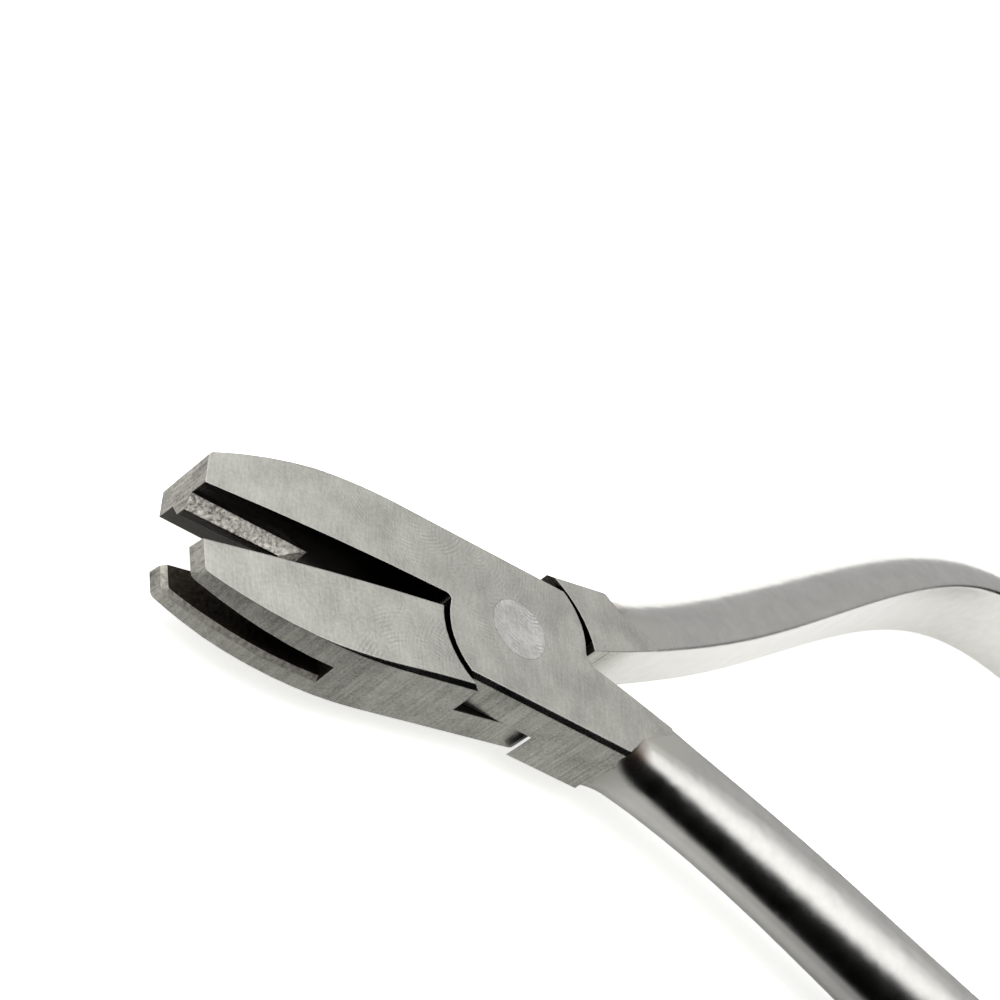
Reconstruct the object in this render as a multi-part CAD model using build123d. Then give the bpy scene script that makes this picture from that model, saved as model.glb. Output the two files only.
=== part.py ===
from build123d import *
import os
from math import cos, hypot, radians, sin, sqrt, tan

# Orthodontic V-bend pliers of ground stainless steel, in millimetres.
# Two forged halves cross in a lap joint and turn on one flush rivet. The ridge half carries the
# V ridge on its jaw and lies on top in the joint. The fork half carries the slotted jaw.
# Frame: the hinge axis is Z, and the origin is where it leaves the joint's lower face.
# The jaws point to -X, the handles to +X, and the pliers are drawn as they stand part open.
# Each half is drawn with the jaws shut, about the lap plane, and is then swung open.

# Opening of the jaws as drawn, between the two inner faces, in degrees.
rest_opening = 10.0

# Joint block and lap. The block flares, in degrees, towards the handle. Behind its straight side
# its faces run out in a nose, which narrows to the handle's inner edge.
joint_thickness = 6.0
joint_width = 12.0
joint_straight_end = 10.2
joint_shoulder_width = 1.3
joint_shoulder_length = 1.1
joint_nose_end = 15.0
joint_nose_width = 2.5
joint_flare = 2.0
bevel_size = 0.33
lap_clearance = 0.05

# Jaws. The end faces lean out towards the lower side.
jaw_length = 25.3
ridge_tip_width = 2.6
fork_tip_width = 2.3
ridge_tip_lean = 6.0
fork_tip_lean = 12.0
jaw_top_drop = 0.9
jaw_bottom_rise = 0.45
jaw_curve_start = 11.0
jaw_taper_start = 6.0
jaw_face_clearance = 0.03
jaw_heel_fillet = 0.45
tip_corner_radius = 0.5

# Seams of the lap joint. A lap plate ends in an arc at the front and at the rear, each struck from
# a centre beside the hinge that carries it past the block's side by its overrun. The other half's
# shoulder follows it at a gap.
lap_centre_x = 1.15
lap_front_radius = 5.15
lap_front_overrun = 0.75
front_seam_gap = 0.55
upper_lap_rear_radius = 5.35
lower_lap_rear_radius = 4.6
lap_rear_overrun = 0.2
upper_shoulder_gap = 0.28
lower_shoulder_gap = 0.42
lower_shoulder_x = 0.6
lower_shoulder_y = 0.2
crotch_fillet = 1.2

# V ridge of the one jaw and slot of the other, both centred at the form level over the lap plane.
form_level = -0.2
ridge_length = 8.85
ridge_height = 1.05
ridge_base_at_tip = 1.9
ridge_base_at_heel = 1.4
ridge_crest_at_tip = 0.7
ridge_crest_at_heel = 0.55
ridge_runout = 1.85
slot_length = 10.2
slot_width_at_tip = 2.2
slot_width_at_heel = 1.65
slot_edge_bevel = 0.3

# Rivet with both heads countersunk and ground flush.
rivet_shank_diameter = 3.8
rivet_head_diameter = 4.8
rivet_head_depth = 0.9
rivet_running_clearance = 0.02

# Handles. The inner edge starts at the crotch and bows outwards. The section is flat inside, above
# and below, and its outer corners are oval. The neck starts as square as the block, its flats just
# under the block's faces. Each station gives the way along the handle, the width, the height, the
# radius of the inner edges, the share of the width that is flat above and below, and the share of
# the height that is flat outside.
crotch_x = 7.4
crotch_y = 0.15
neck_slope = 0.24
handle_end_x = 103.0
handle_end_y = 17.6
handle_end_slope = 0.25
handle_bow = ((27.7, 6.5), (51.5, 17.1), (64.0, 21.9), (74.0, 23.9), (87.0, 21.8))
neck_step = 0.02
neck_height = joint_thickness - 2 * neck_step
neck_stations = (
    (0.020, 5.42, neck_height, 0.06, 0.870, 0.900),
    (0.032, 5.40, neck_height, 0.06, 0.850, 0.860),
    (0.044, 5.40, neck_height, 0.07, 0.660, 0.470),
    (0.056, 5.40, neck_height, 0.10, 0.510, 0.240),
    (0.068, 5.40, neck_height, 0.14, 0.450, 0.175),
)
grip_stations = (
    (0.08, 5.40, neck_height, 0.18, 0.420, 0.150),
    (0.18, 5.60, 6.25, 0.36, 0.220, 0.100),
    (0.30, 5.80, 7.10, 0.45, 0.140, 0.085),
    (0.42, 5.80, 8.20, 0.45, 0.120, 0.075),
    (0.56, 5.80, 9.45, 0.45, 0.110, 0.065),
    (0.70, 5.75, 10.0, 0.45, 0.110, 0.060),
    (0.85, 5.55, 9.95, 0.45, 0.110, 0.060),
    (1.00, 5.00, 9.00, 0.45, 0.110, 0.065),
)
handle_end_round = 0.8

half_thickness = joint_thickness / 2
half_width = joint_width / 2
lap_front_y = half_width + lap_front_overrun - lap_front_radius
lap_rear_y = half_width + lap_rear_overrun - lower_lap_rear_radius
upper_shoulder_radius = hypot(lap_centre_x, lap_rear_y) + upper_lap_rear_radius + upper_shoulder_gap
lower_shoulder_reach = hypot(lap_centre_x - lower_shoulder_x, lap_rear_y + lower_shoulder_y)
lower_shoulder_radius = lower_shoulder_reach + lower_lap_rear_radius + lower_shoulder_gap
tip_overhang = joint_thickness * tan(radians(max(ridge_tip_lean, fork_tip_lean)))
far = 2 * handle_end_x


def neck_y(x):
    """Height of the handle's straight inner edge near the joint, on the ridge half."""
    return -crotch_y - neck_slope * (x - crotch_x)


def inner_edge():
    """The handle's bowed inner edge on the ridge half, from the crotch to the end."""
    points = [(crotch_x, -crotch_y)]
    points += [(x, -y) for x, y in handle_bow]
    points += [(handle_end_x, -handle_end_y)]
    return Spline(points, tangents=[(1, -neck_slope), (1, handle_end_slope)])


def disc(x, y, radius):
    """A filled circle in plan."""
    return Pos(x, y) * Circle(radius)


def span(x0, y0, x1, y1):
    """A filled rectangle in plan, from corner to corner."""
    return Pos((x0 + x1) / 2, (y0 + y1) / 2) * Rectangle(abs(x1 - x0), abs(y1 - y0))


def turned(x, y, angle):
    """A plan point turned about the hinge."""
    c = cos(radians(angle))
    s = sin(radians(angle))
    return c * x - s * y, s * x + c * y


def arc_drop(run, drop, way):
    """Drop at some way along an arc that leaves a straight tangentially and drops so far in a run."""
    radius = (run ** 2 + drop ** 2) / (2 * drop)
    return radius - sqrt(radius ** 2 - way ** 2)


def jaw_plan(tip_width):
    """Jaw of the ridge half: straight inside, and outside one arc that runs into the joint."""
    tip_x = -jaw_length - tip_overhang
    heel = -lap_centre_x
    outside = half_width
    inside = jaw_face_clearance
    run = jaw_length - jaw_curve_start
    tip_side = outside - arc_drop(run, outside - inside - tip_width, run + tip_overhang)
    edges = [
        Line((heel, outside), (-jaw_curve_start, outside)),
        TangentArc((-jaw_curve_start, outside), (tip_x, tip_side), tangent=(-1, 0)),
        Line((tip_x, tip_side), (tip_x, inside)),
        Line((tip_x, inside), (heel, inside)),
        Line((heel, inside), (heel, outside)),
    ]
    return make_face(edges)


def joint_plan(rear_radius):
    """Joint of the ridge half: a block that flares to its nose, and its lap plate's two arcs."""
    flared = make_face(Polyline(
        (-joint_straight_end, 0), (-joint_straight_end, -half_width),
        (joint_straight_end, -half_width),
        (joint_straight_end + joint_shoulder_length, joint_shoulder_width - half_width),
        (joint_nose_end, -joint_nose_width), (joint_nose_end, 0), close=True,
    ))
    block = span(-joint_straight_end, -half_width / 2, joint_straight_end, half_width)
    block += Rot(0, 0, -joint_flare) * flared
    front = span(-far, -far, -lap_centre_x, jaw_face_clearance)
    front -= disc(-lap_centre_x, -lap_front_y, lap_front_radius)
    bend = inner_edge() @ neck_stations[1][0]
    end = inner_edge() @ grip_stations[0][0]
    rear = make_face(Polyline(
        (lap_centre_x, far), (far, far), (far, end.Y), (end.X, end.Y), (bend.X, bend.Y),
        (lap_centre_x, neck_y(lap_centre_x)), close=True,
    ))
    rear -= disc(lap_centre_x, lap_rear_y, rear_radius)
    ahead = span(-far, jaw_face_clearance, -lap_centre_x, far)
    return block - front - rear - ahead


def half_plan(tip_width, rear_radius):
    """Jaw, lap plate and joint of the ridge half, with the heel and the crotch rounded."""
    plan = jaw_plan(tip_width) + joint_plan(rear_radius)
    heel_x = -lap_centre_x - lap_front_radius
    heel = plan.vertices().sort_by_distance((heel_x, jaw_face_clearance))[0]
    plan = fillet(heel, jaw_heel_fillet)
    crotch = plan.vertices().sort_by_distance((lap_centre_x + rear_radius, neck_y(crotch_x)))[0]
    return fillet(crotch, crotch_fillet)


def jaw_taper(change):
    """What is ground off a jaw's upper face, easing from the joint to the given change at the tip."""
    run = jaw_length - jaw_taper_start
    start = (-jaw_taper_start, half_thickness)
    end_x = -jaw_length - tip_overhang
    end = (end_x, half_thickness - arc_drop(run, change, run + tip_overhang))
    edges = [
        TangentArc(start, end, tangent=(-1, 0)),
        Line(end, (end_x, joint_thickness)),
        Line((end_x, joint_thickness), (start[0], joint_thickness)),
        Line((start[0], joint_thickness), start),
    ]
    return extrude(Plane.XZ * make_face(edges), amount=joint_width, both=True)


def bevelled(block):
    """The block with its long outer edges bevelled, above and below, and on round the jaw."""
    long_edges = []
    for edge in block.edges().filter_by(GeomType.LINE):
        middle = edge.center()
        outer = abs(middle.Y) > half_width / 2 and abs(middle.Z) > half_thickness / 2
        if outer and abs(edge.tangent_at(0.5).X) > abs(edge.tangent_at(0.5).Y):
            long_edges.append(edge)
    return chamfer(long_edges, bevel_size)


def lap_recess(shoulder_x, shoulder_y, shoulder_radius):
    """Room for the other half's lap plate, below the lap plane of the ridge half."""
    front_x, front_y = turned(-lap_centre_x, lap_front_y, rest_opening)
    front_keep = span(-far, 0, front_x, far)
    front_keep -= disc(front_x, front_y, lap_front_radius + front_seam_gap)
    rear_keep = make_face(Polyline(
        (0, -far), (far, -far), (far, neck_y(far)), (0, neck_y(0)), close=True,
    ))
    rear_keep -= disc(shoulder_x, shoulder_y, shoulder_radius)
    room = span(-far, -far, far, far) - front_keep - rear_keep
    return Pos(0, 0, lap_clearance / 2) * extrude(room, amount=-joint_thickness)


def handle_section(width, height, r, top_share, side_share):
    """Flat inner side with edges of radius r, flats above, below and outside, oval outer corners."""
    top = height / 2
    side = side_share * top
    shoulder = r + top_share * width
    oval = (width - shoulder, top - side)
    edges = [
        Line((0, top - r), (0, r - top)),
        CenterArc((r, r - top), r, 180, 90),
        Line((r, -top), (shoulder, -top)),
        EllipticalCenterArc((shoulder, -side), *oval, start_angle=-90, arc_size=90),
        Line((width, -side), (width, side)),
        EllipticalCenterArc((shoulder, side), *oval, start_angle=0, arc_size=90),
        Line((shoulder, top), (r, top)),
        CenterArc((r, top - r), r, 90, 90),
    ]
    return make_face(edges)


def edge_plane(way):
    """Plane square to the handle's inner edge, with its X axis outwards."""
    along = inner_edge() % way
    outward = Vector(along.Y, -along.X, 0)
    return Plane(origin=inner_edge() @ way, x_dir=outward, z_dir=along)


def through(stations):
    """Solid through the sections at some stations along the handle's inner edge."""
    return loft([edge_plane(way) * handle_section(*sizes) for way, *sizes in stations])


def butt(plane, width, height, edge_radius, *shares):
    """Rounded end that follows the handle's last section."""
    sections = []
    for turn in (0, 30, 60, 90):
        inset = handle_end_round * (1 - cos(radians(turn)))
        outline = handle_section(width - 2 * inset, height - 2 * inset, edge_radius, *shares)
        end = plane.offset(handle_end_round * sin(radians(turn)))
        sections.append(end * Pos(inset, 0) * outline)
    return loft(sections)


def handle():
    """Handle of the ridge half along its inner edge: neck, grip and rounded end."""
    neck = through(neck_stations + grip_stations[:1])
    grip = through(grip_stations)
    end_way, *end_sizes = grip_stations[-1]
    return neck + grip + butt(edge_plane(end_way), *end_sizes)


def half_blank(tip_width, rear_radius, shoulder):
    """One forging as the ridge half lies: lap plate above, jaw to +Y and handle to -Y."""
    block = bevelled(extrude(half_plan(tip_width, rear_radius), amount=half_thickness, both=True))
    block -= lap_recess(*shoulder)
    return block + handle()


def tip_grind(lean):
    """What is ground off a jaw's end, so that the end face leans."""
    cutter = Pos(-far / 2, 0, 0) * Box(far, far, far)
    return Pos(-jaw_length, 0, half_thickness - jaw_top_drop) * Rot(0, lean, 0) * cutter


def ground_jaw(half, lean):
    """A half after its jaw is tapered above and below, its end ground and the corner rounded."""
    upper = jaw_taper(jaw_top_drop)
    lower = jaw_taper(jaw_bottom_rise).mirror(Plane.XY)
    half = half - upper - lower - tip_grind(lean)
    end = half.faces().sort_by(Axis.X)[0]
    corner = end.edges().sort_by(lambda edge: abs(edge.center().Y))[-1]
    return fillet(corner, tip_corner_radius)


def along_jaw(at_tip, at_heel, length, x):
    """A width that changes evenly from the jaw's tip to the given way back along it."""
    return at_tip + (at_heel - at_tip) * (x + jaw_length) / length


def v_ridge():
    """V ridge with a narrow flat crest, tapering back from the tip to a sloped end."""
    face_y = jaw_face_clearance
    crest_y = face_y - ridge_height
    heel_x = -jaw_length + ridge_length
    sections = []
    for x in (-jaw_length - tip_overhang, heel_x):
        base = along_jaw(ridge_base_at_tip, ridge_base_at_heel, ridge_length, x) / 2
        crest = along_jaw(ridge_crest_at_tip, ridge_crest_at_heel, ridge_length, x) / 2
        outline = Polyline(
            (face_y + ridge_height, -base), (face_y, -base), (crest_y, -crest),
            (crest_y, crest), (face_y, base), (face_y + ridge_height, base), close=True,
        )
        sections.append(Pos(x, 0, form_level) * (Plane.YZ * make_face(outline)))
    ridge = loft(sections, ruled=True)
    slope = make_face(Polyline(
        (heel_x, face_y), (heel_x - ridge_runout, crest_y), (heel_x, crest_y), close=True,
    ))
    return ridge - extrude(slope, amount=joint_thickness, both=True)


def fork_slot():
    """Slot that splits the jaw into two prongs, narrowing back to its square end."""
    end_x = -jaw_length + slot_length
    mouth_x = -jaw_length - 2 * tip_overhang
    mouth = along_jaw(slot_width_at_tip, slot_width_at_heel, slot_length, mouth_x) / 2
    end = slot_width_at_heel / 2
    outline = Polyline(
        (mouth_x, -mouth), (end_x, -end), (end_x, end), (mouth_x, mouth), close=True,
    )
    slot = extrude(Plane.XZ * make_face(outline), amount=joint_width, both=True)
    return Pos(0, 0, form_level) * slot


def worn_prong(half):
    """The forked half with the outer edge of its lower prong bevelled along the slot."""
    middle_x = -jaw_length + slot_length / 2
    level = form_level - along_jaw(slot_width_at_tip, slot_width_at_heel, slot_length, middle_x) / 2
    edge = half.edges().sort_by_distance((middle_x, -joint_width, level))[0]
    return chamfer(edge, slot_edge_bevel)


def rivet(clearance):
    """Rivet with two countersunk heads, or, with a clearance, the hole that it turns in."""
    shank = rivet_shank_diameter / 2 + clearance
    head = rivet_head_diameter / 2 + clearance
    neck = half_thickness - rivet_head_depth
    outline = Polyline(
        (0, -half_thickness), (head, -half_thickness), (shank, -neck),
        (shank, neck), (head, half_thickness), (0, half_thickness), close=True,
    )
    return revolve(Plane.XZ * make_face(outline), Axis.Z)


def ridge_half():
    """Upper half with the V ridge, jaws shut."""
    shoulder = (lower_shoulder_x, lower_shoulder_y, lower_shoulder_radius)
    blank = half_blank(ridge_tip_width, upper_lap_rear_radius, shoulder) + v_ridge()
    return ground_jaw(blank, ridge_tip_lean) - rivet(rivet_running_clearance)


def fork_half():
    """Lower half with the slotted jaw, jaws shut: the same forging turned over."""
    shoulder = (0, 0, upper_shoulder_radius)
    blank = Rot(180, 0, 0) * half_blank(fork_tip_width, lower_lap_rear_radius, shoulder)
    forked = ground_jaw(blank, fork_tip_lean) - fork_slot()
    return worn_prong(forked) - rivet(0)


def swung(half, angle):
    """A half swung about the hinge and lifted so that the joint's lower face is at zero."""
    return Pos(0, 0, half_thickness) * Rot(0, 0, angle) * half


os.makedirs("parts", exist_ok=True)
export_step(swung(ridge_half(), -rest_opening / 2), "parts/ridge_half.step")
export_step(swung(fork_half(), rest_opening / 2), "parts/fork_half.step")
export_step(swung(rivet(0), 0), "parts/hinge_rivet.step")
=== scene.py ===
"""Orthodontic pliers of ground stainless steel: finishes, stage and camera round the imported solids."""
from math import cos, radians, sin

import bpy
import numpy as np
from mathutils import Matrix, Vector


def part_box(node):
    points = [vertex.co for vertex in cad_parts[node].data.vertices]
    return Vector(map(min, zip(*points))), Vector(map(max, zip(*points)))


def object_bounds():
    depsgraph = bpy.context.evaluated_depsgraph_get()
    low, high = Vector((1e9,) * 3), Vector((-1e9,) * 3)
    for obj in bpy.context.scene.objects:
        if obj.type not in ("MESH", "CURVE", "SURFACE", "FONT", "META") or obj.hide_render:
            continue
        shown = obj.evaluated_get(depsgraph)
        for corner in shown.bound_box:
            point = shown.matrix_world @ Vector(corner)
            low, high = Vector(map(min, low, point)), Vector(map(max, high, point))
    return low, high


bl_info = {
    "name": "Orthodontic Pliers",
    "version": (1, 0, 0),
    "blender": (4, 5, 0),
    "location": "3D View > Sidebar > Pliers",
    "description": "Finishes the two forged halves and the rivet of a pair of wire-forming pliers",
    "category": "Object",
}

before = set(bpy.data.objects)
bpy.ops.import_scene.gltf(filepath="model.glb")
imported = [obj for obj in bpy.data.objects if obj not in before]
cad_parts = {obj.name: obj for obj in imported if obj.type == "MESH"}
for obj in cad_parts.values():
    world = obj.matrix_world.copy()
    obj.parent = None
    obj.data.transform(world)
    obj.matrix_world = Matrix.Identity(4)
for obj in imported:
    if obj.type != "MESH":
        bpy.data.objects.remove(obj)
cad_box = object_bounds()

MM = 0.001
# The halves are drawn swung open by this angle each, so that a jaw's own frame is turned by it.
HALF_OPENING = radians(5.0)
SWING = {"ridge_half": -HALF_OPENING, "fork_half": HALF_OPENING}
# The jaw that carries the ridge lies on the +Y side and its inner face looks to -Y.
INWARD = {"ridge_half": -1.0, "fork_half": 1.0}
# The finishes of a half, in the order in which half_finishes lists them.
GROUND, BRUSHED_WITH_PAINTED_SHADE, POLISHED, LAPPED_PAINTED_SHADE, ERODED, OXIDE_AND_PAINTED_SHADE, END_GROUND, BEVELLED, WORN = range(9)
# Where the finishes change on a half, in millimetres in its own frame. SLACK is the play that a face
# on the block's top or bottom may have.
JOINT_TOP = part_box("hinge_rivet")[1][2] / MM
NECK_START = 10.3
NOSE_END = 15.5
SHOULDER_REACH = 7.8
INSIDE_WIDTH = 5.6
CROTCH_START = 6.0
CROTCH_WIDTH = 1.2
LAP_DEPTH = 1.0
JAW_START = -6.0
JAW_FACE = 0.1
FORM_END = -15.0
FORM_LEVEL = 2.8
FORM_REACH = 1.25
RIDGE_FOOT = 0.02
RIDGE_CREST = 0.5
SLOT_END = -18.0
WORN_REACH = 1.6
TIP = -25.0
SLACK = 0.005
# Shares of a face's normal that tell level, diagonal, upright and square-on faces apart.
LEVEL = 0.9
DIAGONAL = 0.707
DIAGONAL_SLACK = 0.05
SLANTED = 0.3
UPRIGHT = 0.02
SQUARE_ON = 0.99
END_ON = 0.95
# A noise swings about 0.5 and a steel's three noises together about 1.5. A wave also swings about 0.5,
# and at scale 1 it repeats every 0.314 m.
NOISE_SPAN = (0.3, 0.7)
NOISE_SUM = (1.15, 1.85)
WAVE_MEAN = 0.5
WAVE_REPEAT = 0.314
# Marks in the steel, drawn as coarse as they have to be to show. Lines are counted in brush pitches.
WIDE_LINE = 1.5
SHORT_LINE = 9
LONG_LINE = 60
RIVET_MARK = (2, 6, 2)
PATCH_SIZE = 2.5 * MM
PIT_SIZE = 0.3 * MM
OXIDE_SIZE = 0.35 * MM
BUFF_SIZE = 1.5 * MM
ROUGHNESS_SWING = 0.15
EDGE_SAMPLES = 6
# Round the hinge axis, between these radii, the rounding of edges sets in.
RIVET_RIM = (2.6 * MM, 3.0 * MM)
# Arcs of the polishing wheel: where they are struck from, in a half's own frame, and how far they go.
SWIRL_PITCH = 0.3 * MM
SWIRL_PATCH = 1.6 * MM
SWIRL_SHARE = (0.48, 0.62)
SWIRL_FADE = 0.3
JAW_SWIRL = (-10 * MM, 8 * MM)
JAW_SWIRL_REACH = 8 * MM
JOINT_SWIRL = (-4 * MM, 5 * MM)
JOINT_SWIRL_REACH = 10 * MM
RIVET_SWIRL = (1.4 * MM, 2.2 * MM)
RIVET_SWIRL_REACH = 8 * MM
# Upright shares of a normal between which a handle's side passes into its face, and that into a flat.
SIDE_TO_FACE = (0.4, 0.9)
FLATS = (0.97, 1.0)
# The handle's start: satin that gives way to polish between these places along x, and brown oxide at
# the upper outer corner.
SATIN_START = 9 * MM
SATIN_END = 14 * MM
TINT_PLACE = (11.2 * MM, 5.8 * MM, 5.4 * MM)
TINT_REACH = 1.7 * MM
# The floor's painted reflection: the way along which it changes, where reflections of it are painted
# from black to white, and where a painted glow rises in them.
PAINTED_REFLECTION_WAY = (0.2, 0.98, 0.0)
PAINTED_DARK_FADE = (-31 * MM, -7.5 * MM)
PAINTED_GLOW_RISE = (-20 * MM, 20 * MM)
PAINTED_GLOW = 0.6
# Light that the sheet adds of its own, so that the eye sees it white.
EYE_LIFT = 0.78
# The tent: the way from its dark opening to its bright side, and its levels by the height looked at.
TENT_WAY = (-0.4, 1.0, 0.25)
TENT_FADE = (-0.47, -0.19)
TENT_HEIGHTS = (0.6, 0.98)
TENT_LEVELS = (0.76, 2.6)
# The camera: its sensor in millimetres, and the nearest and farthest distance that it sees.
SENSOR_WIDTH = 36.0
CLIP_START = 5 * MM
CLIP_END = 20.0


def linear(hex_colour):
    """sRGB hex to linear red, green, blue and alpha 1: each channel by the sRGB curve."""
    channels = np.array([int(hex_colour[i:i + 2], 16) for i in (1, 3, 5)]) / 255
    low = channels / 12.92
    high = ((channels + 0.055) / 1.055) ** 2.4
    return (*np.where(channels <= 0.04045, low, high).tolist(), 1.0)


def add(tree, kind, inputs=None, **settings):
    """Adds a node, sets its settings, and fills or links its inputs by name or number."""
    node = tree.nodes.new(kind)
    for name, value in settings.items():
        setattr(node, name, value)
    for key, value in (inputs or {}).items():
        socket = node.inputs[key]
        if isinstance(value, bpy.types.NodeSocket):
            tree.links.new(value, socket)
        else:
            socket.default_value = value
    return node


class FinishSettings(bpy.types.PropertyGroup):
    """Colours, roughness and marks of the ground, brushed and polished steel."""
    face_colour: bpy.props.FloatVectorProperty(
        name="Face colour", description="Satin-ground upper and lower faces", subtype="COLOR",
        size=4, min=0, max=1, default=linear("#bbbab3"))
    # Partly painted shade: the brushed sides are a darker grey than the faces, also for the shade they
    # show.
    side_colour_with_painted_shade: bpy.props.FloatVectorProperty(
        name="Side colour", description="Brushed outer sides", subtype="COLOR",
        size=4, min=0, max=1, default=linear("#a9a8a1"))
    end_colour: bpy.props.FloatVectorProperty(
        name="End colour", description="Belt-ground ends of the jaws", subtype="COLOR",
        size=4, min=0, max=1, default=linear("#8b8983"))
    handle_colour: bpy.props.FloatVectorProperty(
        name="Handle colour", description="Polished handles", subtype="COLOR",
        size=4, min=0, max=1, default=linear("#cbcac6"))
    # Painted shade: the inner faces and the walls in the gaps are given a near-black colour for the
    # shade on them.
    inside_painted_shade_colour: bpy.props.FloatVectorProperty(
        name="Inner face colour", description="Lapped inner faces of the jaws", subtype="COLOR",
        size=4, min=0, max=1, default=linear("#4b4a47"))
    grain_colour: bpy.props.FloatVectorProperty(
        name="Ridge colour", description="Spark-eroded flanks of the V ridge", subtype="COLOR",
        size=4, min=0, max=1, default=linear("#bfbcb4"))
    # Oxide in the slot, its colour also painted darker for the shade in the slot.
    slot_oxide_and_painted_shade_colour: bpy.props.FloatVectorProperty(
        name="Slot colour", description="Spark-eroded walls of the slot", subtype="COLOR",
        size=4, min=0, max=1, default=linear("#38342d"))
    worn_colour: bpy.props.FloatVectorProperty(
        name="Worn edge colour", description="Worn lower edge of the slot", subtype="COLOR",
        size=4, min=0, max=1, default=linear("#c6c3bc"))
    tint_colour: bpy.props.FloatVectorProperty(
        name="Heat tint", description="Brown oxide where the handle leaves the joint",
        subtype="COLOR", size=4, min=0, max=1, default=linear("#7d6455"))
    brush_pitch: bpy.props.FloatProperty(
        name="Brush pitch", description="Distance between brush lines, drawn coarse enough to show",
        subtype="DISTANCE", unit="LENGTH", default=0.16 * MM, min=0.02 * MM, max=1 * MM)
    edge_wear: bpy.props.FloatProperty(
        name="Edge wear", description="Radius to which handling has rounded the ground edges",
        subtype="DISTANCE", unit="LENGTH", default=0.12 * MM, min=0, max=1 * MM)
    face_roughness: bpy.props.FloatProperty(
        name="Face roughness", description="Roughness of the ground faces", subtype="FACTOR",
        default=0.38, min=0, max=1)
    handle_roughness: bpy.props.FloatProperty(
        name="Handle roughness", description="Roughness of the polished handles", subtype="FACTOR",
        default=0.21, min=0, max=1)


class StageSettings(bpy.types.PropertyGroup):
    """Camera, floor and light."""
    camera_place: bpy.props.FloatVectorProperty(
        name="Camera place", description="Where the camera stands", subtype="TRANSLATION",
        unit="LENGTH", default=(-64.474 * MM, -60.93 * MM, 69.746 * MM))
    camera_aim: bpy.props.FloatVectorProperty(
        name="Camera aim", description="Point at the picture's centre", subtype="TRANSLATION",
        unit="LENGTH", default=(2.633 * MM, 14.936 * MM, 3.0 * MM))
    camera_roll: bpy.props.FloatProperty(
        name="Camera roll", description="Turn of the camera about its line of sight",
        subtype="ANGLE", default=radians(51.174))
    lens: bpy.props.FloatProperty(
        name="Lens", description="Focal length for a 36 mm wide sensor", subtype="DISTANCE_CAMERA",
        default=55.787, min=10, max=300)
    floor_colour: bpy.props.FloatVectorProperty(
        name="Floor colour", description="Pale table", subtype="COLOR",
        size=4, min=0, max=1, default=linear("#f3f3f1"))
    floor_size: bpy.props.FloatProperty(
        name="Floor size", description="Side of the floor", subtype="DISTANCE", unit="LENGTH",
        default=4.0, min=0.5)
    sky_level: bpy.props.FloatProperty(
        name="Sky level", description="Brightness of the light tent", subtype="FACTOR",
        default=0.72, min=0, max=5)
    key_power: bpy.props.FloatProperty(
        name="Key power", description="Power of the soft lamp over the joint", subtype="POWER",
        default=1.2, min=0)
    key_place: bpy.props.FloatVectorProperty(
        name="Key place", description="Where the soft lamp stands", subtype="TRANSLATION",
        unit="LENGTH", default=(-0.15, 0.55, 0.30))
    key_size: bpy.props.FloatProperty(
        name="Key size", description="Side of the soft lamp", subtype="DISTANCE", unit="LENGTH",
        default=0.35, min=0.01)


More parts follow.
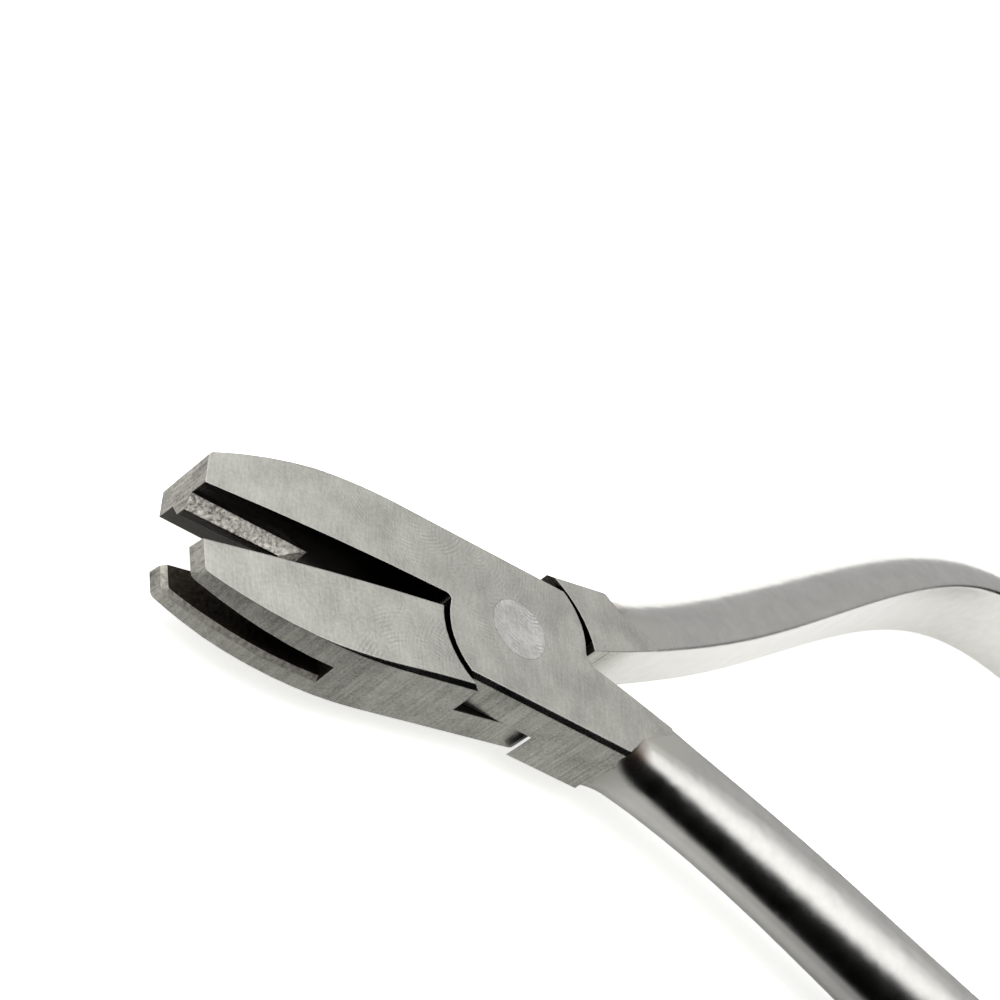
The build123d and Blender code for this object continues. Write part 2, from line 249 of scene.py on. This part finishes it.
def steel(name, look, colour, roughness, swing, pitch, grain=0.25, depth=0.012, contrast=0.12,
          rounding=1.0, layers=()):
    """A bare steel. Brush lines are noise stretched along one axis of the half's own frame.

    pitch gives the line spacing along x, y and z in metres, grain the size of the pits and depth
    that of the bump in millimetres, and contrast how far the colour swings either way. Edges are
    rounded by wear, at rounding times the usual radius, but not round the rivet, which is ground
    flush. Each layer lays further marks over colour and roughness.
    """
    material = bpy.data.materials.new(name)
    material.use_nodes = True
    tree = material.node_tree
    tree.nodes.clear()
    place = add(tree, "ShaderNodeTexCoord")
    turned = add(tree, "ShaderNodeMapping", {"Vector": place.outputs["Object"],
                                             "Rotation": (0.0, 0.0, -swing)})
    stretched = add(tree, "ShaderNodeMapping", {"Vector": turned.outputs["Vector"],
                                                "Scale": tuple(1 / spacing for spacing in pitch)})
    lines = add(tree, "ShaderNodeTexNoise", {"Vector": stretched.outputs["Vector"], "Scale": 1.0,
                                             "Detail": 4.0, "Roughness": 0.62})
    patches = add(tree, "ShaderNodeTexNoise", {"Vector": turned.outputs["Vector"],
                                               "Scale": 1 / PATCH_SIZE, "Detail": 4.0})
    speckle = add(tree, "ShaderNodeTexNoise", {"Vector": turned.outputs["Vector"],
                                               "Scale": 1 / (grain * MM), "Detail": 3.0})
    marks = add(tree, "ShaderNodeMath", {0: lines.outputs["Fac"], 1: patches.outputs["Fac"]},
                operation="ADD")
    marks = add(tree, "ShaderNodeMath", {0: marks.outputs[0], 1: speckle.outputs["Fac"]},
                operation="ADD")
    shade = add(tree, "ShaderNodeMapRange", {
        "Value": marks.outputs[0], "From Min": NOISE_SUM[0], "From Max": NOISE_SUM[1],
        "To Min": 1 - contrast, "To Max": 1 + contrast})
    base = add(tree, "ShaderNodeVectorMath", {0: tuple(colour)[:3], "Scale": shade.outputs["Result"]},
               operation="SCALE")
    rough = add(tree, "ShaderNodeMapRange", {
        "Value": patches.outputs["Fac"], "From Min": NOISE_SPAN[0], "From Max": NOISE_SPAN[1],
        "To Min": roughness * (1 - ROUGHNESS_SWING), "To Max": roughness * (1 + ROUGHNESS_SWING)})
    base, rough = base.outputs["Vector"], rough.outputs["Result"]
    for layer in layers:
        base, rough = layer(tree, turned.outputs["Vector"], base, rough)
    spread = add(tree, "ShaderNodeVectorMath", {0: turned.outputs["Vector"], 1: (1.0, 1.0, 0.0)},
                 operation="MULTIPLY")
    spread = add(tree, "ShaderNodeVectorMath", {0: spread.outputs["Vector"]}, operation="LENGTH")
    worn = add(tree, "ShaderNodeMapRange", {
        "Value": spread.outputs["Value"], "From Min": RIVET_RIM[0], "From Max": RIVET_RIM[1],
        "To Max": rounding * look.edge_wear})
    edge = add(tree, "ShaderNodeBevel", {"Radius": worn.outputs["Result"]}, samples=EDGE_SAMPLES)
    height = add(tree, "ShaderNodeMath", {0: lines.outputs["Fac"], 1: speckle.outputs["Fac"]},
                 operation="ADD")
    bump = add(tree, "ShaderNodeBump", {"Height": height.outputs[0], "Strength": 1.0,
                                        "Distance": depth * MM, "Normal": edge.outputs["Normal"]})
    shader = add(tree, "ShaderNodeBsdfPrincipled", {
        "Base Color": base, "Metallic": 1.0, "Roughness": rough, "Normal": bump.outputs["Normal"]})
    add(tree, "ShaderNodeOutputMaterial", {"Surface": shader.outputs["BSDF"]})
    return material


def ball(tree, place, centre, radius):
    """1 at a point, falling evenly to 0 at the radius. Both are in metres."""
    inside = add(tree, "ShaderNodeMapping", {"Vector": place, "Scale": (1 / radius,) * 3,
                                             "Location": tuple(-c / radius for c in centre)})
    return add(tree, "ShaderNodeTexGradient", {"Vector": inside.outputs["Vector"]},
               gradient_type="SPHERICAL").outputs["Fac"]


def swirls(centre, radius, contrast):
    """Arcs that a polishing wheel leaves: rings about an upright line, in patches, up to a radius."""
    def layer(tree, place, base, rough):
        about = add(tree, "ShaderNodeMapping", {"Vector": place, "Scale": (1.0, 1.0, 0.0),
                                                "Location": (-centre[0], -centre[1], 0.0)})
        rings = add(tree, "ShaderNodeTexWave", {"Vector": about.outputs["Vector"],
                                                "Scale": WAVE_REPEAT / SWIRL_PITCH, "Distortion": 2.5,
                                                "Detail": 2.0, "Detail Scale": 0.4},
                    wave_type="RINGS", rings_direction="Z")
        patch = add(tree, "ShaderNodeTexNoise", {"Vector": about.outputs["Vector"],
                                                 "Scale": 1 / SWIRL_PATCH, "Detail": 1.0})
        patch = add(tree, "ShaderNodeMapRange", {
            "Value": patch.outputs["Fac"], "From Min": SWIRL_SHARE[0], "From Max": SWIRL_SHARE[1]})
        near = ball(tree, about.outputs["Vector"], (0.0, 0.0, 0.0), radius)
        near = add(tree, "ShaderNodeMapRange", {"Value": near, "From Max": SWIRL_FADE,
                                                "To Max": contrast})
        depth = add(tree, "ShaderNodeMath", {0: patch.outputs["Result"], 1: near.outputs["Result"]},
                    operation="MULTIPLY")
        swing = add(tree, "ShaderNodeMath", {0: rings.outputs["Fac"], 1: WAVE_MEAN},
                    operation="SUBTRACT")
        shade = add(tree, "ShaderNodeMath", {0: swing.outputs[0], 1: depth.outputs[0], 2: 1.0},
                    operation="MULTIPLY_ADD")
        marked = add(tree, "ShaderNodeVectorMath", {0: base, "Scale": shade.outputs[0]},
                     operation="SCALE")
        return marked.outputs["Vector"], rough
    return layer


def heat_tint(centre, radius, colour):
    """Brown oxide round a point."""
    def layer(tree, place, base, rough):
        mixed = add(tree, "ShaderNodeMix", {0: ball(tree, place, centre, radius), 6: base,
                                            7: tuple(colour)}, data_type="RGBA")
        return mixed.outputs[2], rough
    return layer


def satin_start(face_colour, side_colour_with_painted_shade, satin):
    """The joint's satin, which passes into the handle's polish along x, and later on the flats."""
    def layer(tree, place, base, rough):
        along = add(tree, "ShaderNodeSeparateXYZ", {"Vector": place})
        normal = add(tree, "ShaderNodeNewGeometry")
        tilt = add(tree, "ShaderNodeSeparateXYZ", {"Vector": normal.outputs["Normal"]})
        tilt = add(tree, "ShaderNodeMath", {0: tilt.outputs["Z"]}, operation="ABSOLUTE")
        flat = add(tree, "ShaderNodeMapRange", {
            "Value": tilt.outputs[0], "From Min": SIDE_TO_FACE[0], "From Max": SIDE_TO_FACE[1]})
        late = add(tree, "ShaderNodeMapRange", {
            "Value": tilt.outputs[0], "From Min": FLATS[0], "From Max": FLATS[1],
            "To Max": SATIN_START - SATIN_END})
        since = add(tree, "ShaderNodeMath", {0: along.outputs["X"], 1: late.outputs["Result"]},
                    operation="ADD")
        share = add(tree, "ShaderNodeMapRange", {
            "Value": since.outputs[0], "From Min": SATIN_START, "From Max": SATIN_END},
            interpolation_type="SMOOTHSTEP")
        # Upright sides take the side colour, whose darker grey is partly painted shade.
        ground = add(tree, "ShaderNodeMix", {0: flat.outputs["Result"], 6: tuple(side_colour_with_painted_shade),
                                             7: tuple(face_colour)}, data_type="RGBA")
        colour = add(tree, "ShaderNodeMix", {0: share.outputs["Result"], 6: ground.outputs[2],
                                             7: base}, data_type="RGBA")
        gloss = add(tree, "ShaderNodeMix", {0: share.outputs["Result"], 2: satin, 3: rough},
                    data_type="FLOAT")
        return colour.outputs[2], gloss.outputs[0]
    return layer


def face_groups(node):
    """Which finish each face of a half takes, from its normal and its place in the jaw's own frame.

    Upper and lower faces are ground; outer sides are brushed, their darker grey partly painted shade;
    the handle is polished. Inner faces of the jaw and the lap, and the walls in the gaps round the
    joint, are lapped and painted near black for their shade. The ridge is eroded, the slot has oxide
    painted darker for the shade in it, and its edge is worn. The jaw's end is end-ground and its
    diagonal edges are bevelled.
    """
    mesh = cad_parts[node].data
    count = len(mesh.polygons)
    normal = np.empty(count * 3)
    centre = np.empty(count * 3)
    mesh.polygons.foreach_get("normal", normal)
    mesh.polygons.foreach_get("center", centre)
    turn = SWING[node]
    back = np.array([[cos(turn), sin(turn), 0], [-sin(turn), cos(turn), 0], [0, 0, 1]])
    normal = normal.reshape(-1, 3) @ back.T
    x, y, z = (centre.reshape(-1, 3) @ back.T / MM).T
    facing = normal[:, 1] * INWARD[node]
    tilt = np.abs(normal[:, 2])
    level = tilt > LEVEL
    upright = tilt < UPRIGHT
    group = np.where(level, GROUND, BRUSHED_WITH_PAINTED_SHADE)
    group[(np.abs(tilt - DIAGONAL) < DIAGONAL_SLACK) & (x < NECK_START)] = BEVELLED
    on_block = level & ((np.abs(z) < SLACK) | (np.abs(z - JOINT_TOP) < SLACK)) & (x < NOSE_END)
    group[(x > NECK_START) & ~on_block] = POLISHED
    # Painted shade: inner jaw faces and the walls in the gaps take the near-black lapped colour.
    group[upright & (facing > SQUARE_ON) & (x < JAW_START) & (np.abs(y) < JAW_FACE)] = LAPPED_PAINTED_SHADE
    across = np.abs(normal[:, 0]) > SLANTED
    within = (np.hypot(x, y) < SHOULDER_REACH) & ((np.abs(y) < INSIDE_WIDTH) | across)
    group[upright & within & ((x < CROTCH_START) | (np.abs(y) > CROTCH_WIDTH))] = LAPPED_PAINTED_SHADE
    deep = level & (z > LAP_DEPTH) & (z < JOINT_TOP - LAP_DEPTH)
    group[deep & (x > FORM_END) & (x < NECK_START)] = LAPPED_PAINTED_SHADE
    height = np.abs(z - FORM_LEVEL)
    inward = y * INWARD[node]
    form = (x < FORM_END) & (height < FORM_REACH)
    if node == "ridge_half":
        group[form & (inward > RIDGE_FOOT)] = ERODED
        group[form & upright & (facing > SQUARE_ON) & (inward > RIDGE_CREST)] = LAPPED_PAINTED_SHADE
    else:
        # The slot's walls: oxide, its colour painted darker for the shade in the slot.
        group[form & level] = OXIDE_AND_PAINTED_SHADE
        group[form & upright & (normal[:, 0] < -SQUARE_ON) & (x > SLOT_END)] = OXIDE_AND_PAINTED_SHADE
        slanted = (tilt > SLANTED) & (tilt < LEVEL)
        group[slanted & (x < FORM_END) & (height < WORN_REACH)] = WORN
    group[(normal[:, 0] < -END_ON) & (x < TIP)] = END_GROUND
    return group


def finish_half(node, finishes):
    """Gives a half its list of finishes and each of its faces the one that it was made with."""
    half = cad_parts[node]
    half.data.materials.clear()
    for material in finishes:
        half.data.materials.append(material)
    half.data.polygons.foreach_set("material_index", face_groups(node).astype(np.int32))
    half.data.update()


def half_finishes(node, look):
    """The finishes of one half, in the order of their names at the top."""
    swing = SWING[node]
    line = look.brush_pitch
    wide = WIDE_LINE * line
    short = SHORT_LINE * line
    long = LONG_LINE * line
    hand = -INWARD[node]
    # Stainless steel, surface-ground and then drawn across a belt: satin, short faint cross lines.
    ground = steel(f"ground_stainless_{node}", look, look.face_colour, look.face_roughness, swing,
                   pitch=(line, short, line), contrast=0.15, layers=(
                       swirls((JAW_SWIRL[0], hand * JAW_SWIRL[1]), JAW_SWIRL_REACH, contrast=0.22),
                       swirls((JOINT_SWIRL[0], hand * JOINT_SWIRL[1]), JOINT_SWIRL_REACH,
                              contrast=0.16)))
    # Stainless steel, belt-brushed through the thickness, with plain upright lines; its darker grey is
    # partly painted shade.
    brushed = steel(f"brushed_stainless_partly_painted_shade_{node}", look, look.side_colour_with_painted_shade, roughness=0.36, swing=swing,
                    pitch=(wide, wide, long), grain=0.16, contrast=0.42)
    # Stainless steel, tumbled and buffed: clear soft reflections, a little wavy.
    polished = steel(f"polished_stainless_{node}", look, look.handle_colour, look.handle_roughness,
                     swing, pitch=(BUFF_SIZE,) * 3, grain=1.0, depth=0.003, contrast=0.05,
                     rounding=4.0, layers=(
                         satin_start(look.face_colour, look.side_colour_with_painted_shade, look.face_roughness),
                         heat_tint((TINT_PLACE[0], -hand * TINT_PLACE[1], TINT_PLACE[2]), TINT_REACH,
                                   look.tint_colour)))
    # Stainless steel, lapped and smooth, its colour painted near black for the shade on the inner faces
    # and in the gaps between the parts.
    lapped = steel(f"lapped_painted_shade_stainless_{node}", look, look.inside_painted_shade_colour, roughness=0.2, swing=swing,
                   pitch=(long, line, line), depth=0.003, contrast=0.12)
    # Stainless steel, spark-eroded: small pits that scatter the light.
    eroded = steel(f"spark_eroded_stainless_{node}", look, look.grain_colour, roughness=0.5,
                   swing=swing, pitch=(PIT_SIZE,) * 3, grain=0.24, depth=0.05, contrast=0.7)
    # Stainless steel, spark-eroded in a narrow slot: brown-grey oxide in the pits, its colour also
    # painted darker for the shade in the slot.
    oxide = steel(f"oxide_and_painted_shade_stainless_{node}", look, look.slot_oxide_and_painted_shade_colour, roughness=0.6, swing=swing,
                  pitch=(OXIDE_SIZE,) * 3, grain=0.35, depth=0.08, contrast=0.4)
    # Stainless steel, end-ground on a belt: plain lines through the thickness.
    ends = steel(f"end_ground_stainless_{node}", look, look.end_colour, roughness=0.4, swing=swing,
                 pitch=(wide, wide, long), depth=0.02, contrast=0.6)
    # Stainless steel, bevelled on a fine wheel: smooth, so that it mirrors what is in front of it.
    bevel = steel(f"fine_ground_stainless_{node}", look, look.handle_colour, roughness=0.2,
                  swing=swing, pitch=(long, line, line), depth=0.003, contrast=0.08)
    # Stainless steel, spark-eroded and then rubbed by wire: mid grey, with the pits half worn away.
    worn = steel(f"worn_stainless_{node}", look, look.worn_colour, roughness=0.75, swing=swing,
                 pitch=(PIT_SIZE,) * 3, grain=0.3, depth=0.05, contrast=0.3)
    return [ground, brushed, polished, lapped, eroded, oxide, ends, bevel, worn]


class PLIERS_OT_ridge_half(bpy.types.Operator):
    """Finish the half that carries the V ridge"""
    bl_idname = "pliers.ridge_half"
    bl_label = "Ridge Half"

    def execute(self, context):
        finish_half("ridge_half", half_finishes("ridge_half", context.scene.pliers_finish))
        return {"FINISHED"}


class PLIERS_OT_fork_half(bpy.types.Operator):
    """Finish the half with the slotted jaw"""
    bl_idname = "pliers.fork_half"
    bl_label = "Fork Half"

    def execute(self, context):
        finish_half("fork_half", half_finishes("fork_half", context.scene.pliers_finish))
        return {"FINISHED"}


class PLIERS_OT_hinge_rivet(bpy.types.Operator):
    """Finish the flush rivet"""
    bl_idname = "pliers.hinge_rivet"
    bl_label = "Hinge Rivet"

    def execute(self, context):
        look = context.scene.pliers_finish
        marks = tuple(count * look.brush_pitch for count in RIVET_MARK)
        # Stainless steel, peened and then ground flush: small crossed marks.
        peened = steel("peened_stainless_rivet", look, look.handle_colour, look.face_roughness,
                       swing=0.0, pitch=marks, grain=0.3, depth=0.02, contrast=0.2,
                       layers=(swirls(RIVET_SWIRL, RIVET_SWIRL_REACH, contrast=0.45),))
        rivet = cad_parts["hinge_rivet"]
        rivet.data.materials.clear()
        rivet.data.materials.append(peened)
        return {"FINISHED"}


def pale_floor(stage):
    """Floor under the lowest point: a white sheet to the eye, that keeps its shadow.

    In reflections the floor is painted black in front of the pliers and given a painted glow farther
    back: a painted reflection, not a real edge of the floor.
    """
    half = stage.floor_size / 2
    low = cad_box[0][2]
    corners = np.array([(-half, -half, low), (half, -half, low), (half, half, low), (-half, half, low)])
    mesh = bpy.data.meshes.new("floor")
    mesh.from_pydata(corners.tolist(), [], [(0, 1, 2, 3)])
    floor = bpy.data.objects.new("floor", mesh)
    bpy.context.scene.collection.objects.link(floor)
    # Matt white laminate, lifted to white where the eye meets it. In reflections its colour is painted
    # black in front and a painted glow is added farther back.
    material = bpy.data.materials.new("matt_white_laminate_painted_reflection")
    material.use_nodes = True
    tree = material.node_tree
    tree.nodes.clear()
    place = add(tree, "ShaderNodeTexCoord")
    ahead = add(tree, "ShaderNodeVectorMath", {0: place.outputs["Object"], 1: PAINTED_REFLECTION_WAY},
                operation="DOT_PRODUCT")
    sheet = add(tree, "ShaderNodeMapRange", {
        "Value": ahead.outputs["Value"], "From Min": PAINTED_DARK_FADE[0], "From Max": PAINTED_DARK_FADE[1]},
        interpolation_type="SMOOTHSTEP")
    path = add(tree, "ShaderNodeLightPath")
    mirrored = add(tree, "ShaderNodeMath", {0: path.outputs["Is Glossy Ray"],
                                            1: path.outputs["Is Transmission Ray"]}, operation="ADD")
    # Painted reflection: reflections of the floor in front of the pliers are painted black.
    dark = add(tree, "ShaderNodeMath", {0: 1.0, 1: sheet.outputs["Result"]}, operation="SUBTRACT")
    dark = add(tree, "ShaderNodeMath", {0: dark.outputs[0], 1: mirrored.outputs[0]},
               operation="MULTIPLY")
    colour = add(tree, "ShaderNodeMix", {0: dark.outputs[0], 6: tuple(stage.floor_colour),
                                         7: linear("#000000")}, data_type="RGBA")
    # Painted glow: reflections of the floor farther back glow more, though the floor is no lamp.
    painted_glow_share = add(tree, "ShaderNodeMapRange", {
        "Value": ahead.outputs["Value"], "From Min": PAINTED_GLOW_RISE[0], "From Max": PAINTED_GLOW_RISE[1],
        "To Max": PAINTED_GLOW}, interpolation_type="SMOOTHSTEP")
    painted_glow_in_reflections = add(tree, "ShaderNodeMath", {0: mirrored.outputs[0], 1: painted_glow_share.outputs["Result"]},
                 operation="MULTIPLY")
    lift = add(tree, "ShaderNodeMath", {0: path.outputs["Is Camera Ray"], 1: EYE_LIFT,
                                        2: painted_glow_in_reflections.outputs[0]}, operation="MULTIPLY_ADD")
    shader = add(tree, "ShaderNodeBsdfPrincipled", {
        "Base Color": colour.outputs[2], "Roughness": 0.9, "Specular IOR Level": 0.0,
        "Emission Color": colour.outputs[2], "Emission Strength": lift.outputs[0]})
    add(tree, "ShaderNodeOutputMaterial", {"Surface": shader.outputs["BSDF"]})
    mesh.materials.append(material)


def light_tent(stage):
    """World light: an even pale tent, brightest overhead, with a dark opening towards -Y.

    The eye itself sees plain white beyond the floor.
    """
    world = bpy.data.worlds.new("light_tent")
    bpy.context.scene.world = world
    world.use_nodes = True
    tree = world.node_tree
    tree.nodes.clear()
    place = add(tree, "ShaderNodeTexCoord")
    way = add(tree, "ShaderNodeSeparateXYZ", {"Vector": place.outputs["Generated"]})
    lean = add(tree, "ShaderNodeVectorMath", {0: place.outputs["Generated"], 1: TENT_WAY},
               operation="DOT_PRODUCT")
    keep = add(tree, "ShaderNodeMapRange", {
        "Value": lean.outputs["Value"], "From Min": TENT_FADE[0], "From Max": TENT_FADE[1]},
        interpolation_type="SMOOTHSTEP")
    tent = add(tree, "ShaderNodeMapRange", {
        "Value": way.outputs["Z"], "From Min": TENT_HEIGHTS[0], "From Max": TENT_HEIGHTS[1],
        "To Min": TENT_LEVELS[0] * stage.sky_level, "To Max": TENT_LEVELS[1] * stage.sky_level},
        interpolation_type="SMOOTHSTEP")
    level = add(tree, "ShaderNodeMath", {0: keep.outputs["Result"], 1: tent.outputs["Result"]},
                operation="MULTIPLY")
    path = add(tree, "ShaderNodeLightPath")
    shown = add(tree, "ShaderNodeMix", {0: path.outputs["Is Camera Ray"], 2: level.outputs[0],
                                        3: 1.0}, data_type="FLOAT")
    shader = add(tree, "ShaderNodeBackground", {"Color": linear("#ffffff"),
                                                "Strength": shown.outputs[0]})
    add(tree, "ShaderNodeOutputWorld", {"Surface": shader.outputs["Background"]})


def soft_lamp(stage):
    """A square soft lamp above and behind the joint."""
    data = bpy.data.lights.new("soft_lamp", "AREA")
    data.energy = stage.key_power
    data.size = stage.key_size
    lamp = bpy.data.objects.new("soft_lamp", data)
    bpy.context.scene.collection.objects.link(lamp)
    lamp.location = stage.key_place
    lamp.rotation_euler = (-lamp.location).to_track_quat("-Z", "Y").to_euler()


def photo_camera(stage):
    """The camera: aimed along its line of sight and then rolled about it."""
    data = bpy.data.cameras.new("camera")
    data.sensor_width = SENSOR_WIDTH
    data.lens = stage.lens
    data.clip_start = CLIP_START
    data.clip_end = CLIP_END
    camera = bpy.data.objects.new("camera", data)
    bpy.context.scene.collection.objects.link(camera)
    place = Vector(stage.camera_place)
    aim = Vector(stage.camera_aim) - place
    turn = aim.to_track_quat("-Z", "Y").to_matrix().to_4x4()
    roll = Matrix.Rotation(stage.camera_roll, 4, "Z")
    camera.matrix_world = Matrix.Translation(place) @ turn @ roll
    bpy.context.scene.camera = camera


class PLIERS_OT_stage(bpy.types.Operator):
    """Make the floor, the light and the camera"""
    bl_idname = "pliers.stage"
    bl_label = "Stage"

    def execute(self, context):
        stage = context.scene.pliers_stage
        pale_floor(stage)
        light_tent(stage)
        soft_lamp(stage)
        photo_camera(stage)
        context.scene.view_settings.view_transform = "Standard"
        return {"FINISHED"}


class PLIERS_PT_panel(bpy.types.Panel):
    """Lists the pliers' operators and settings"""
    bl_idname = "PLIERS_PT_panel"
    bl_label = "Pliers"
    bl_space_type = "VIEW_3D"
    bl_region_type = "UI"
    bl_category = "Pliers"

    def draw(self, context):
        for operator in OPERATORS:
            self.layout.operator(operator.bl_idname)
        for settings in (context.scene.pliers_finish, context.scene.pliers_stage):
            for name in settings.__annotations__:
                self.layout.prop(settings, name)


OPERATORS = (PLIERS_OT_ridge_half, PLIERS_OT_fork_half, PLIERS_OT_hinge_rivet, PLIERS_OT_stage)
CLASSES = (FinishSettings, StageSettings, *OPERATORS, PLIERS_PT_panel)


def register():
    """Adds the classes, and the settings to the scene."""
    for one in CLASSES:
        bpy.utils.register_class(one)
    bpy.types.Scene.pliers_finish = bpy.props.PointerProperty(type=FinishSettings)
    bpy.types.Scene.pliers_stage = bpy.props.PointerProperty(type=StageSettings)


def unregister():
    """Takes the settings and the classes away again."""
    del bpy.types.Scene.pliers_stage
    del bpy.types.Scene.pliers_finish
    for one in reversed(CLASSES):
        bpy.utils.unregister_class(one)


def main():
    """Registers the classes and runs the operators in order."""
    register()
    bpy.ops.pliers.ridge_half()
    bpy.ops.pliers.fork_half()
    bpy.ops.pliers.hinge_rivet()
    bpy.ops.pliers.stage()


if __name__ == "__main__":
    main()
